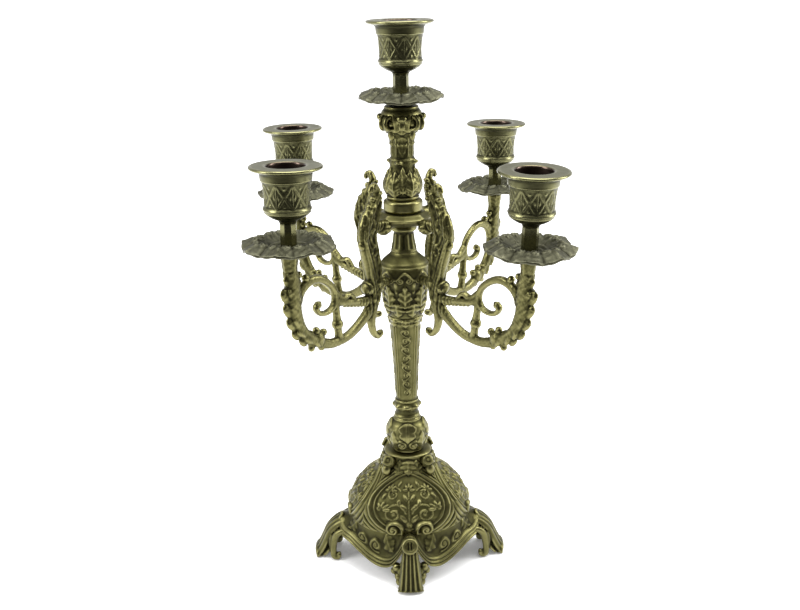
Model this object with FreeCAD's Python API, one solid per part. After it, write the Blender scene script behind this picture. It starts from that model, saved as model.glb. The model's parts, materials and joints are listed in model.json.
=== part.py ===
import FreeCAD, Part
import math
import os

from FreeCAD import Placement, Rotation, Vector

# Five-light table candelabra in cast brass, in millimetres.
# The origin is on the column's axis at the level of the feet, +Z is up and -Y is the front.

# ---- driving dimensions -------------------------------------------------------------------

socket_radius = 11.0            # candle socket
socket_depth = 20.0
rim_radius = 21.2               # flat flange around the socket
rim_above_seat = 52.0           # from the seat under the drip pan to the rim
cup_gap = 0.3                   # between a pan, its seat and its cup

pan_radius = 27.0
pan_lobes = 8
pan_lobe_depth = 1.8
pan_hub_height = 2.7
pan_sheet = 1.6

stud_radius = 2.5
stud_clearance = 0.06           # a running fit in the pan and the cup
stud_in_arm = 10.0
stud_above_seat = 13.0

rod_radius = 3.0
rod_clearance = 0.1

base_top = 86.0                 # heights of the stacked column parts
knop_top = 112.0
shaft_top = 188.0
urn_top = 233.0
spindle_top = 251.5
plate_top = 259.6
collar_top = 268.3
column_top = 328.0              # seat of the middle pan

base_depth_ratio = 0.86         # the base is a little less deep than it is wide
ceiling = base_top - 14.0       # underside of the base's crown, where the tie rod's nut sits
foot_width = 18.0
side_foot = (50.0, 31.0, 69.0)  # distance and height of the knee, and distance of the toe
end_foot = (44.0, 37.0, 52.0)

arm_reach = 104.7               # axis of an arm's socket from the column's axis
arm_seat_height = 253.0
arm_pivot = Vector(14.0, 0.0, 245.0)
arm_azimuth = {"front_left": 230.4, "front_right": 313.6, "back_right": 49.5, "back_left": 137.5}
arm_tilt = {"front_left": -1.4, "front_right": 2.4, "back_right": 0.9, "back_left": 0.3}
scroll_thickness = 5.0
bracket_thickness = 9.0
upright_thickness = 7.0

screw_height = 216.0            # the screw that holds each arm to the urn
screw_head = (36.0, 39.5, 4.0)  # inner end, outer end, radius
screw_shank = (9.0, 2.0)        # inner end, radius


# ---- helpers ------------------------------------------------------------------------------

def spline(points):
    """A smooth curve through the points."""
    curve = Part.BSplineCurve()
    curve.interpolate(points)
    return curve


def turned(outline, smooth=False):
    """A solid of revolution about Z; the outline is a list of (radius, height), top to bottom."""
    points = [Vector(radius, 0, height) for radius, height in outline]
    first, last = points[0], points[-1]
    top, bottom = Vector(0, 0, first.z), Vector(0, 0, last.z)
    if smooth:
        side = [spline(points).toShape()]
    else:
        side = [Part.LineSegment(a, b).toShape() for a, b in zip(points, points[1:])]
    ends = [Part.LineSegment(top, first).toShape(), Part.LineSegment(last, bottom).toShape()]
    axis = Part.LineSegment(bottom, top).toShape()
    wire = Part.Wire(Part.__sortEdges__(side + ends + [axis]))
    return Part.Face(wire).revolve(Vector(0, 0, 0), Vector(0, 0, 1), 360)


def cylinder(radius, low, high):
    """An upright cylinder on the column's axis."""
    return Part.makeCylinder(radius, high - low, Vector(0, 0, low))


def ribbon(stations, thickness):
    """A flat scroll in the XZ plane; the stations are (x, z, half width) along its middle line."""
    middle = [Vector(x, 0, z) for x, z, _ in stations]
    curve = spline(middle)
    left, right = [], []
    for point, (_, _, half_width) in zip(middle, stations):
        tangent = curve.tangent(curve.parameter(point))[0]
        normal = Vector(-tangent.z, 0, tangent.x).normalize() * half_width
        left.append(point + normal)
        right.append(point - normal)
    start_tip = middle[0] - curve.tangent(curve.FirstParameter)[0] * stations[0][2]
    end_tip = middle[-1] + curve.tangent(curve.LastParameter)[0] * stations[-1][2]
    edges = [
        spline(left).toShape(),
        Part.Arc(left[-1], end_tip, right[-1]).toShape(),
        spline(list(reversed(right))).toShape(),
        Part.Arc(right[0], start_tip, left[0]).toShape(),
    ]
    face = Part.Face(Part.Wire(edges))
    solid = face.extrude(Vector(0, thickness, 0))
    solid.translate(Vector(0, -thickness / 2, 0))
    return solid


def knob(x, z, radius):
    """A round boss on a scroll."""
    return Part.makeSphere(radius, Vector(x, 0, z))


def fused(shapes):
    """One clean solid from touching shapes."""
    return shapes[0].multiFuse(shapes[1:]).removeSplitter()


def write(shape, node):
    """Save one node, as one solid or a group of separate solids."""
    shape.exportStep("parts/" + node + ".step")


# ---- base ---------------------------------------------------------------------------------

def oval(radius, height):
    """A level oval outline; the base's round forms are narrowed from front to back."""
    curve = Part.Ellipse(Vector(0, 0, height), radius, radius * base_depth_ratio)
    return Part.Wire(curve.toShape())


def oval_solid(outline, straight=True):
    """A solid through level ovals; the outline is a list of (radius, height)."""
    return Part.makeLoft([oval(radius, height) for radius, height in outline], True, straight)


def foot(knee, knee_height, toe, azimuth):
    """A scrolled foot, whose outer face flares from the knee to the toe."""
    flare = toe - knee
    outer = [
        Vector(knee - 6, 0, knee_height + 1),
        Vector(knee, 0, knee_height),
        Vector(knee + 0.35 * flare, 0, 0.66 * knee_height),
        Vector(knee + 0.6 * flare, 0, 0.34 * knee_height),
        Vector(toe, 0, 3),
    ]
    sole_outer = Vector(toe - 2.5, 0, 0)
    sole_inner = Vector(knee + 0.1 * flare, 0, 0)
    inner = [sole_inner, Vector(knee - 2.5, 0, 12), Vector(knee - 8, 0, 0.68 * knee_height)]
    edges = [
        spline(outer).toShape(),
        Part.LineSegment(outer[-1], sole_outer).toShape(),
        Part.LineSegment(sole_outer, sole_inner).toShape(),
        spline(inner).toShape(),
        Part.LineSegment(inner[-1], outer[0]).toShape(),
    ]
    solid = Part.Face(Part.Wire(edges)).extrude(Vector(0, foot_width, 0))
    solid.translate(Vector(0, -foot_width / 2, 0))
    solid.rotate(Vector(0, 0, 0), Vector(0, 0, 1), azimuth)
    return solid


def base_casting():
    """The hollow bombe body with its flange and four feet."""
    body = oval_solid([
        (17.5, base_top), (18.8, 81.5), (22.0, 75.5), (28.2, 69.0),
        (36.4, 59.5), (41.8, 51.0), (43.6, 43.5), (42.0, 36.0),
    ], straight=False)
    flange = oval_solid([(41.0, 39.0), (48.5, 34.0), (50.0, 27.0), (49.0, 15.0), (46.0, 14.0)])
    feet = []
    for azimuth in (0, 90, 180, 270):
        size = side_foot if azimuth % 180 == 0 else end_foot
        feet.append(foot(*size, azimuth))
    casting = fused([body, flange] + feet)
    hollow = oval_solid([
        (13.0, ceiling), (19.0, 67.5), (30.5, 58.0), (37.8, 48.0), (38.5, 36.0),
        (44.0, 27.0), (45.0, 0.0), (45.0, -1.0),
    ])
    bore = cylinder(rod_radius + rod_clearance, base_top - 20, base_top + 1)
    return casting.cut(hollow).cut(bore)


# ---- column -------------------------------------------------------------------------------

def bored(shape):
    """Every column part has a hole for the tie rod."""
    box = shape.BoundBox
    return shape.cut(cylinder(rod_radius + rod_clearance, box.ZMin - 1, box.ZMax + 1))


def knop():
    outline = [
        (9.0, knop_top), (12.0, 110.0), (14.6, 105.0), (15.2, 99.0),
        (14.6, 93.0), (12.6, 89.0), (10.5, base_top),
    ]
    return bored(turned(outline, smooth=True))


def four_sided(half_width, height, corner=0.3):
    """A square outline with its corners cut, for the panelled shaft."""
    cut = half_width * corner
    inner = half_width - cut
    points = [
        Vector(half_width, -inner, height), Vector(half_width, inner, height),
        Vector(inner, half_width, height), Vector(-inner, half_width, height),
        Vector(-half_width, inner, height), Vector(-half_width, -inner, height),
        Vector(-inner, -half_width, height), Vector(inner, -half_width, height),
    ]
    return Part.makePolygon(points + points[:1])


def column_shaft():
    """The tapered shaft: four panels, with a turned foot and collar."""
    panels = Part.makeLoft([four_sided(7.3, 126.0), four_sided(10.3, 182.0)], True)
    neck = turned([(7.5, 127.0), (9.9, 121.5), (9.4, 118.5), (8.3, 116.0), (9.0, knop_top)])
    collar = turned([(11.6, shaft_top), (11.6, 184.0), (9.8, 180.0)])
    return bored(fused([panels, neck, collar]))


def urn():
    outline = [
        (8.6, urn_top), (12.5, 230.0), (16.6, 225.5), (17.2, 219.0),
        (16.0, 209.0), (14.8, 200.0), (14.2, 195.0), (11.6, shaft_top),
    ]
    return bored(turned(outline, smooth=True))


def spindle():
    outline = [
        (8.8, spindle_top), (8.8, 247.5), (6.2, 246.5),
        (6.8, 240.0), (7.4, 236.0), (8.6, urn_top),
    ]
    return bored(turned(outline))


def arm_plate():
    """The four-pointed clamping plate; its points reach over the arms' hooks."""
    tip, valley = 20.5, 14.5
    points = []
    azimuths = sorted(arm_azimuth.values())
    for azimuth, following in zip(azimuths, azimuths[1:] + [azimuths[0] + 360]):
        for radius, angle in ((tip, azimuth), (valley, (azimuth + following) / 2)):
            turn = math.radians(angle)
            points.append(Vector(radius * math.cos(turn), radius * math.sin(turn), spindle_top))
    face = Part.Face(Part.makePolygon(points + points[:1]))
    plate = face.extrude(Vector(0, 0, plate_top - spindle_top))
    bevel = turned([(15.0, plate_top), (21.0, plate_top - 3.0), (21.0, 254.5), (14.0, spindle_top)])
    return bored(plate.common(bevel))


def collar_disc():
    outline = [
        (11.6, collar_top), (12.8, 267.3), (12.8, 261.0), (11.8, plate_top),
    ]
    return bored(turned(outline))


def upper_baluster():
    """Capital, fluted neck, bulb and foot, with four small ears on the neck."""
    outline = [
        (10.8, column_top), (12.5, 325.0), (15.3, 320.5), (14.6, 316.5), (12.0, 313.5),
        (9.0, 308.0), (7.4, 302.0), (7.0, 296.5), (8.4, 291.0), (8.6, 287.0), (10.6, 282.0),
        (12.4, 277.5), (11.6, 273.5), (10.0, 271.0), (10.6, collar_top),
    ]
    body = turned(outline, smooth=True)
    ears = []
    for azimuth in (45, 135, 225, 315):
        ear = knob(8.6, 291.5, 2.2)
        ear.rotate(Vector(0, 0, 0), Vector(0, 0, 1), azimuth)
        ears.append(ear)
    return bored(fused([body] + ears))


# ---- fasteners on the column --------------------------------------------------------------

washer_thickness = 2.0
nut_height = 5.0
nut_across_flats = 10.0


def tie_rod():
    """The threaded rod that pulls the stack together; its thin end carries the middle cup."""
    rod = cylinder(rod_radius, ceiling - washer_thickness - nut_height - 4, column_top - 6)
    return fused([rod, cylinder(stud_radius, column_top - 6, column_top + stud_above_seat)])


def base_washer():
    disc = cylinder(11.0, ceiling - washer_thickness, ceiling)
    return disc.cut(cylinder(rod_radius + rod_clearance, 0, base_top))


def tie_rod_nut():
    top = ceiling - washer_thickness
    corner_radius = nut_across_flats / math.sqrt(3)
    corners = []
    for index in range(7):
        turn = math.radians(60 * index)
        corners.append(Vector(corner_radius * math.cos(turn), corner_radius * math.sin(turn), top))
    nut = Part.Face(Part.makePolygon(corners)).extrude(Vector(0, 0, -nut_height))
    return nut.cut(cylinder(rod_radius, 0, base_top))


# ---- arms ---------------------------------------------------------------------------------

def arm_blank():
    """One arm casting in the XZ plane, upright, before it is fitted to the column."""
    bracket = ribbon([
        (31.0, 279.6, 2.2), (27.6, 280.4, 2.4), (25.0, 276.6, 2.8), (26.2, 272.0, 4.6),
        (31.0, 266.0, 8.8), (34.3, 258.5, 11.8), (34.8, 251.0, 11.6), (33.4, 243.0, 10.2),
        (31.4, 233.0, 9.2), (30.0, 223.0, 7.8), (29.5, 213.0, 6.4), (31.5, 203.0, 4.0),
        (33.6, 193.0, 2.9), (32.0, 184.5, 2.3), (27.0, 181.0, 2.0),
    ], bracket_thickness)
    hook = ribbon([(29.0, 254.0, 4.0), (22.0, 254.0, 4.6), (17.0, 253.0, 4.0)], bracket_thickness)
    boss = Part.makeCylinder(5.0, 20.0, Vector(10.0, 0, screw_height), Vector(1, 0, 0))
    branch = ribbon([
        (32.0, 205.0, 3.0), (38.0, 197.5, 2.6), (46.3, 192.3, 2.3), (56.7, 188.6, 2.2),
        (68.8, 187.9, 2.5), (80.5, 190.6, 3.6),
    ], scroll_thickness)
    upright = ribbon([
        (80.5, 193.0, 4.0), (88.0, 195.3, 3.6), (95.4, 200.1, 3.6), (101.6, 207.6, 4.6),
        (105.2, 218.0, 6.0), (105.6, 228.0, 6.4), (104.4, 237.0, 5.2),
    ], upright_thickness)
    scroll = ribbon([
        (101.0, 226.0, 2.4), (96.5, 231.4, 2.0), (90.0, 234.2, 1.9), (83.0, 233.6, 1.8),
        (75.0, 229.8, 1.8), (69.0, 223.3, 1.8), (67.2, 216.6, 1.8), (70.0, 211.6, 1.6),
        (76.5, 209.6, 1.5), (82.6, 211.4, 1.5), (84.6, 215.3, 1.6), (82.0, 217.0, 2.0),
    ], scroll_thickness)
    strut = ribbon([
        (67.4, 215.0, 2.0), (66.6, 207.5, 2.0), (66.0, 200.0, 3.4), (65.0, 194.0, 2.0),
        (64.0, 189.0, 2.2),
    ], scroll_thickness)
    tie = ribbon([(33.0, 206.5, 2.8), (45.0, 209.0, 2.2), (56.0, 211.6, 2.4), (67.0, 215.6, 3.2)],
                 scroll_thickness)
    curl_in = knob(26.0, 183.0, 2.6)
    curl_out = knob(31.5, 279.0, 2.8)
    knuckle = knob(84.0, 194.6, 5.6)
    bud = knob(92.0, 236.5, 2.4)
    stem_low = arm_seat_height - 17.0
    stem = Part.makeCone(4.4, 5.4, 17.0, Vector(arm_reach, 0, stem_low))
    return fused([bracket, hook, boss, branch, upright, scroll, strut, tie,
                  curl_in, curl_out, knuckle, bud, stem])


def on_arm(shape, name):
    """Place something made in the XZ plane on the named arm."""
    placed = shape.copy()
    placed.rotate(arm_pivot, Vector(0, 1, 0), arm_tilt[name])
    placed.rotate(Vector(0, 0, 0), Vector(0, 0, 1), arm_azimuth[name])
    return placed


def arm_hole():
    """The tapped hole for an arm's stud."""
    low = arm_seat_height - stud_in_arm
    return Part.makeCylinder(stud_radius + 0.05, stud_in_arm + 1, Vector(arm_reach, 0, low))


def screw_hole():
    """The hole for an arm's screw, through its bracket and into the urn."""
    inner, radius = screw_shank
    hole = Part.makeCylinder(radius + 0.05, 40, Vector(inner, 0, screw_height), Vector(1, 0, 0))
    outer = Part.makeCylinder(screw_head[2] + 0.3, 30, Vector(screw_head[0], 0, screw_height),
                              Vector(1, 0, 0))
    return hole.fuse(outer)


def arm_screw():
    inner, radius = screw_shank
    head_start, head_end, head_radius = screw_head
    start = Vector(inner, 0, screw_height)
    shank = Part.makeCylinder(radius, head_start - inner, start, Vector(1, 0, 0))
    head = Part.makeCylinder(head_radius, head_end - head_start,
                             Vector(head_start, 0, screw_height), Vector(1, 0, 0))
    return shank.fuse(head).removeSplitter()


def arm_stud():
    low = arm_seat_height - stud_in_arm
    high = arm_seat_height + stud_above_seat
    return Part.makeCylinder(stud_radius, high - low, Vector(arm_reach, 0, low))


# ---- drip pan and candle cup, made on the column's axis with the seat at height 0 ----------

def drip_pan():
    """A shallow dish with a lobed edge and a hub that turns on the stud."""
    low, high = cup_gap, cup_gap + pan_hub_height
    dish = turned([
        (7.0, high), (13.0, high - 0.2), (20.0, high + 1.6), (29.5, high + 6.4),
        (29.5, high + 6.4 - pan_sheet), (20.0, high + 1.6 - pan_sheet - 0.2), (7.0, low),
    ])
    edge = []
    for index in range(pan_lobes * 2):
        radius = pan_radius - (pan_lobe_depth if index % 2 else 0)
        turn = math.pi * index / pan_lobes
        edge.append(Vector(radius * math.cos(turn), radius * math.sin(turn), 0))
    outline = Part.BSplineCurve()
    outline.interpolate(edge, PeriodicFlag=True)
    prism = Part.Face(Part.Wire(outline.toShape())).extrude(Vector(0, 0, high + 8))
    return dish.common(prism).cut(cylinder(stud_radius + stud_clearance, low - 1, high + 1))


def candle_cup():
    """A flanged candle cup on a short stem that screws onto the stud."""
    low = pan_hub_height + 2 * cup_gap
    body = turned([
        (rim_radius - 1.0, rim_above_seat), (rim_radius, rim_above_seat - 0.9),
        (rim_radius - 0.6, rim_above_seat - 1.9), (15.4, rim_above_seat - 2.8),
        (15.2, rim_above_seat - 8.0), (14.0, rim_above_seat - 9.0), (13.4, 33.0),
        (13.6, 29.0), (14.2, 27.6), (13.2, 25.4), (10.5, 22.6), (5.2, 20.6),
        (5.0, 18.0), (5.0, low + 1.0), (4.4, low),
    ])
    socket = cylinder(socket_radius, rim_above_seat - socket_depth, rim_above_seat + 1)
    stud_hole = cylinder(stud_radius + stud_clearance, low - 1, stud_above_seat + 1)
    return body.cut(socket).cut(stud_hole)


def lifted(shape, height, reach=0.0):
    """Move a pan or a cup from the origin to its seat."""
    moved = shape.copy()
    moved.translate(Vector(reach, 0, height))
    return moved


# ---- the assembly -------------------------------------------------------------------------

def main():
    os.makedirs("parts", exist_ok=True)
    pan, cup = drip_pan(), candle_cup()
    plate, collar = arm_plate(), collar_disc()
    blank = arm_blank().cut(arm_hole()).cut(screw_hole())
    urn_body, stem = urn(), spindle()

    screws = [on_arm(arm_screw(), name) for name in arm_azimuth]
    studs = [on_arm(arm_stud(), name) for name in arm_azimuth]
    drilled_urn = urn_body
    for name in arm_azimuth:
        drilled_urn = drilled_urn.cut(on_arm(screw_hole(), name))

    write(base_casting(), "base_casting")
    write(base_washer(), "base_washer")
    write(tie_rod_nut(), "tie_rod_nut")
    write(tie_rod(), "tie_rod")
    write(knop(), "knop")
    write(column_shaft(), "column_shaft")
    write(drilled_urn, "urn")
    write(stem, "spindle")
    write(plate, "arm_plate")
    write(collar, "collar_disc")
    write(upper_baluster(), "upper_baluster")
    write(Part.makeCompound(screws), "arm_screws")
    write(Part.makeCompound(studs), "cup_studs")
    write(lifted(pan, column_top), "drip_pan_centre")
    write(lifted(cup, column_top), "candle_cup_centre")
    for name in arm_azimuth:
        arm = on_arm(blank, name).cut(urn_body).cut(plate).cut(stem)
        write(arm, "arm_" + name)
        write(on_arm(lifted(pan, arm_seat_height, arm_reach), name), "drip_pan_" + name)
        write(on_arm(lifted(cup, arm_seat_height, arm_reach), name), "candle_cup_" + name)


main()
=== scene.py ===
import json
import math

import bmesh
import bpy
import numpy as np
from mathutils import Matrix, Vector

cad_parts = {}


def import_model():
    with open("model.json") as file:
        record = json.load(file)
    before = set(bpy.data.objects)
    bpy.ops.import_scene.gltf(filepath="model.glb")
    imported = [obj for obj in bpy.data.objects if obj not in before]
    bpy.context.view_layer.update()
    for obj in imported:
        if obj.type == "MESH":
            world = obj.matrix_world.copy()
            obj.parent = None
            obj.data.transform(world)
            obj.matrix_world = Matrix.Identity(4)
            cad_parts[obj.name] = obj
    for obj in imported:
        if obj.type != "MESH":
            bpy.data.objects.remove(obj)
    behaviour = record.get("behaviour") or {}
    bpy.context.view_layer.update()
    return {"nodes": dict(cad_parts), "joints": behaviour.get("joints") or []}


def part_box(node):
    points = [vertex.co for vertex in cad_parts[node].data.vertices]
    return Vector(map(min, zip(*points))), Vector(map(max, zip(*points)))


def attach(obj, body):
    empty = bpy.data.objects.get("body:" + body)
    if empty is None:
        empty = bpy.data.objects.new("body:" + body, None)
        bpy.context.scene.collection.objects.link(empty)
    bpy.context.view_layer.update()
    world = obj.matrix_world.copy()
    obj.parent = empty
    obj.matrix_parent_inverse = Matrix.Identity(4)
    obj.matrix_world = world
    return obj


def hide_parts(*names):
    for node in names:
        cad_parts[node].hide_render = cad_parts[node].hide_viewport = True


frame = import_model()

# A five-light brass candelabra. Shapes are worked out in millimetres in numpy and become
# metres when a mesh is made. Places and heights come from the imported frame.

MM = 0.001
TAU = 2 * math.pi
random = np.random.default_rng(11)


# ---- small tools ----

def node_range(node):
    """Lowest and highest height of a CAD node, in millimetres."""
    low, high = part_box(node)
    return low.z / MM, high.z / MM


def resampled(points, count):
    """count points spaced evenly along a broken line."""
    points = np.asarray(points, float)
    step = np.linalg.norm(np.diff(points, axis=0), axis=1)
    along = np.concatenate([[0], np.cumsum(step)])
    at = np.linspace(0, along[-1], count)
    return np.stack([np.interp(at, along, points[:, k]) for k in range(points.shape[1])], 1)


def softened(points, count, soften):
    """A broken line with its corners rounded over about soften millimetres."""
    line = resampled(points, count)
    length = np.linalg.norm(np.diff(line, axis=0), axis=1).sum()
    passes = int(2 * (soften * count / length) ** 2)
    for _ in range(passes):
        line[1:-1] += 0.5 * (0.5 * (line[:-2] + line[2:]) - line[1:-1])
    return line


def smooth_curve(points, per_span=8):
    """A Catmull-Rom curve through the points; every column is interpolated."""
    points = np.asarray(points, float)
    padded = np.vstack([2 * points[0] - points[1], points, 2 * points[-1] - points[-2]])
    t = np.linspace(0, 1, per_span, endpoint=False)[:, None]
    spans = []
    for a, b, c, d in zip(padded, padded[1:], padded[2:], padded[3:]):
        spans.append(0.5 * (2 * b + (c - a) * t + (2 * a - 5 * b + 4 * c - d) * t ** 2
                            + (3 * b - a - 3 * c + d) * t ** 3))
    return np.vstack(spans + [points[-1:]])


def grid_faces(rows, columns, close_rows=False, close_columns=True):
    """Quads of a grid of points, row by row."""
    i = np.arange(rows if close_rows else rows - 1)
    j = np.arange(columns if close_columns else columns - 1)
    i, j = np.meshgrid(i, j, indexing="ij")
    k, m = (i + 1) % rows, (j + 1) % columns
    quads = np.stack([i * columns + j, i * columns + m, k * columns + m, k * columns + j], -1)
    return quads.reshape(-1, 4)


def cap(first, count):
    """Quads that close a ring of count points, an even number."""
    return first + np.array([[k, k + 1, count - 2 - k, count - 1 - k] for k in range(count // 2 - 1)])


def tube_faces(rows, columns):
    """Quads of a tube whose two ends are closed."""
    far_cap = cap((rows - 1) * columns, columns)[:, ::-1]
    return np.vstack([grid_faces(rows, columns), cap(0, columns), far_cap])


def joined(parts):
    """Several (points, quads) as one."""
    points, faces, start = [], [], 0
    for part_points, part_faces in parts:
        points.append(part_points)
        faces.append(part_faces + start)
        start += len(part_points)
    return np.vstack(points), np.vstack(faces)


def outward(points, faces):
    """The faces of a closed shape, turned so that they look outwards."""
    a, b, c, d = (points[faces[:, k]] for k in range(4))
    volume = (np.cross(b - a, c - a) * a).sum() + (np.cross(c - a, d - a) * a).sum()
    return faces if volume > 0 else faces[:, ::-1]


def make_mesh(name, points, faces):
    mesh = bpy.data.meshes.new(name)
    mesh.vertices.add(len(points))
    mesh.vertices.foreach_set("co", (np.asarray(points) * MM).astype(np.float32).ravel())
    mesh.loops.add(faces.size)
    mesh.loops.foreach_set("vertex_index", faces.astype(np.int32).ravel())
    mesh.polygons.add(len(faces))
    mesh.polygons.foreach_set("loop_start", np.arange(len(faces), dtype=np.int32) * faces.shape[1])
    mesh.update(calc_edges=True)
    mesh.validate()
    return mesh


def make_object(name, data, place=None):
    piece = bpy.data.objects.new(name, data)
    bpy.context.scene.collection.objects.link(piece)
    if place is not None:
        piece.matrix_world = place
    return piece


def welded(mesh):
    """Joins the points that meet at a pole."""
    work = bmesh.new()
    work.from_mesh(mesh)
    bmesh.ops.remove_doubles(work, verts=work.verts, dist=0.004 * MM)
    work.to_mesh(mesh)
    work.free()
    return mesh


def gathered(items, name, width, kind=np.float32):
    """One property of every item of a mesh, with a row for each item."""
    flat = np.empty(len(items) * width, kind)
    items.foreach_get(name, flat)
    return flat.reshape(-1, width)


def coordinates(mesh):
    return gathered(mesh.vertices, "co", 3).astype(float) / MM


def normals(mesh):
    return gathered(mesh.vertex_normals, "vector", 3).astype(float)


def edge_ends(mesh):
    return gathered(mesh.edges, "vertices", 2, np.int32).T


def point_degree(ends, count):
    """How many edges meet at each point."""
    return np.maximum(np.bincount(ends.ravel(), minlength=count), 1)


def store(mesh, name, values):
    """Keeps a number for each point, which the material reads by its name."""
    layer = mesh.attributes.new(name, "FLOAT", "POINT")
    layer.data.foreach_set("value", values.astype(np.float32))


def neighbour_mean(values, ends, degree):
    a, b = ends
    total = np.empty_like(values)
    for k in range(values.shape[1]):
        total[:, k] = (np.bincount(a, values[b, k], len(values))
                       + np.bincount(b, values[a, k], len(values)))
    return total / degree[:, None]


def add_wear(mesh, reach=1.6, depth=0.30):
    """Stores how far each point stands above its surroundings, from 0 in a recess to 1 on a ridge."""
    points, ends = coordinates(mesh), edge_ends(mesh)
    degree = point_degree(ends, len(points))
    spacing = np.median(np.linalg.norm(points[ends[0]] - points[ends[1]], axis=1))
    smooth = points
    for _ in range(int(max(6, min(90, 2 * (reach / spacing) ** 2)))):
        smooth = 0.5 * smooth + 0.5 * neighbour_mean(smooth, ends, degree)
    height = ((points - smooth) * normals(mesh)).sum(1)
    store(mesh, "wear_and_painted_light", np.clip(0.5 + height / depth * 0.5, 0, 1))
    mesh.polygons.foreach_set("use_smooth", np.ones(len(mesh.polygons), bool))


def polish_and_painted_light(mesh, share):
    """Scales the stored brightness of each part of a surface: polishing wear, painted shade on the urn,
    spindle and flange hollow, painted light on the cup stems, and a darker tone on the feet.
    """
    wear_and_painted_light = mesh.attributes["wear_and_painted_light"].data
    values = gathered(wear_and_painted_light, "value", 1).ravel()
    wear_and_painted_light.foreach_set("value", (values * share).astype(np.float32))


def remeshed(name, parts, voxel, smoothing=2):
    """Closed parts melted together into one cast surface."""
    points, faces = joined(parts)
    rough = make_object(name + "_rough", make_mesh(name, points, faces))
    remesh = rough.modifiers.new("melt", "REMESH")
    remesh.mode = "VOXEL"
    remesh.voxel_size = voxel * MM
    graph = bpy.context.evaluated_depsgraph_get()
    mesh = bpy.data.meshes.new_from_object(rough.evaluated_get(graph))
    bpy.data.objects.remove(rough)
    mesh.name = name
    set_points(mesh, relaxed(mesh, smoothing))
    return mesh


def relaxed(mesh, passes):
    """The points after a smoothing that doesn't shrink the shape."""
    points, ends = coordinates(mesh), edge_ends(mesh)
    degree = point_degree(ends, len(points))
    for _ in range(passes):
        points = points + 0.5 * (neighbour_mean(points, ends, degree) - points)
        points = points - 0.51 * (neighbour_mean(points, ends, degree) - points)
    return points


def set_points(mesh, points):
    mesh.vertices.foreach_set("co", (points * MM).astype(np.float32).ravel())
    mesh.update()


# ---- relief patterns, all in millimetres ----

def ridge(distance, width):
    return np.exp(-(distance / width) ** 2)


def step(value, low, high):
    t = np.clip((value - low) / (high - low), 0, 1)
    return t * t * (3 - 2 * t)


def rotated(x, y, angle):
    c, s = math.cos(angle), math.sin(angle)
    return x * c + y * s, -x * s + y * c


def leaf(x, y, length, width, lobes=4, angle=0):
    """An acanthus leaf from the origin along +y: a lobed blade with a midrib and side veins."""
    x, y = rotated(x, y, angle)
    t = np.clip(y / length, 0, 1)
    lobe = np.abs(np.sin(math.pi * (lobes * t + 0.15)))
    half = width * (0.35 + 0.9 * np.sin(math.pi * t ** 0.8)) * (0.72 + 0.28 * lobe) * (1.02 - t ** 4)
    inside = step(half - np.abs(x), 0, 0.25 * width)
    inside = inside * step(y, -0.3, 0.5) * step(length - y, 0, 0.8)
    across = np.abs(x) / np.maximum(half, 0.1)
    veins = 0.22 * np.cos(TAU * (lobes * t - 0.55 * across * lobes / 3))
    blade = 0.75 - 0.35 * across ** 2 + veins * (0.3 + 0.7 * across) + 0.3 * ridge(x, 0.13 * width)
    return inside * np.clip(blade, 0, 1.2)


def petal(x, y, length, width, angle=0):
    """A plain rounded leaf from the origin along +y."""
    x, y = rotated(x, y, angle)
    return np.sqrt(np.clip(1 - (2 * y / length - 1) ** 2 - (x / width) ** 2, 0, 1))


def spiral(x, y, centre, radius, turns=1.6, start=0, hand=1, width=0.7):
    """A raised volute line that winds in to an eye."""
    dx, dy = x - centre[0], y - centre[1]
    away = np.hypot(dx, dy)
    turn = np.mod(hand * np.arctan2(dy, dx) - start, TAU)
    near = np.full_like(away, 99)
    for lap in range(int(math.ceil(turns))):
        wound = turn + TAU * lap
        line = radius * np.exp(-0.16 * wound)
        near = np.where(wound < TAU * turns, np.minimum(near, np.abs(away - line)), near)
    eye = ridge(away, radius * 0.24)
    return np.maximum(ridge(near, width), eye) * step(radius * 1.25 - away, 0, 0.2 * radius)


def around(theta, count, radius, offset=0):
    """Distance round the part from the nearest of count evenly spaced lines."""
    cell = TAU / count
    return (np.mod(theta - offset + cell / 2, cell) - cell / 2) * radius


def stipple(x, y, pitch):
    """A ground of small dimples."""
    u, v = x / pitch, y / pitch
    return 0.5 * (np.cos(TAU * u + 1.3 * np.sin(v * 2.1)) * np.cos(TAU * v + 1.7 * np.sin(u * 1.7)))


# ---- shape builders ----

def lathe(name, outline, relief, rows, columns, soften=0.5, closed=False, plan=None):
    """A turned form with relief. The outline is (radius, height) from the bottom, outside, to the
    top; relief(theta, height, radius, along) is in millimetres; plan(theta, height) scales the radius."""
    line = softened(outline, rows, soften)
    slope = np.gradient(line, axis=0)
    slope /= np.maximum(np.linalg.norm(slope, axis=1), 1e-6)[:, None]
    along = np.concatenate([[0], np.cumsum(np.linalg.norm(np.diff(line, axis=0), axis=1))])
    theta = np.linspace(0, TAU, columns, endpoint=False)[None, :]
    radius, height, distance = line[:, :1], line[:, 1:], along[:, None]
    lift = relief(theta, height + 0 * theta, radius + 0 * theta, distance + 0 * theta)
    scale = plan(theta, height + 0 * theta) if plan else 1.0
    r = radius * scale + lift * slope[:, 1:]
    z = height - lift * slope[:, :1]
    points = np.stack([r * np.cos(theta), r * np.sin(theta), z + 0 * theta], -1).reshape(-1, 3)
    faces = outward(points, grid_faces(rows, columns, close_rows=closed))
    return welded(make_mesh(name, points, faces))


def ring(centre, radius, thickness, normal, columns=28, sides=10):
    """A torus."""
    axis = Vector(normal).normalized()
    side = axis.orthogonal().normalized()
    up = axis.cross(side)
    side, up, axis = (np.array(v) for v in (side, up, axis))
    a = np.linspace(0, TAU, columns, endpoint=False)[:, None, None]
    b = np.linspace(0, TAU, sides, endpoint=False)[None, :, None]
    out = np.cos(a) * side + np.sin(a) * up
    points = np.array(centre) + out * (radius + thickness * np.cos(b)) + axis * thickness * np.sin(b)
    points = points.reshape(-1, 3)
    return points, outward(points, grid_faces(columns, sides, close_rows=True))


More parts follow.
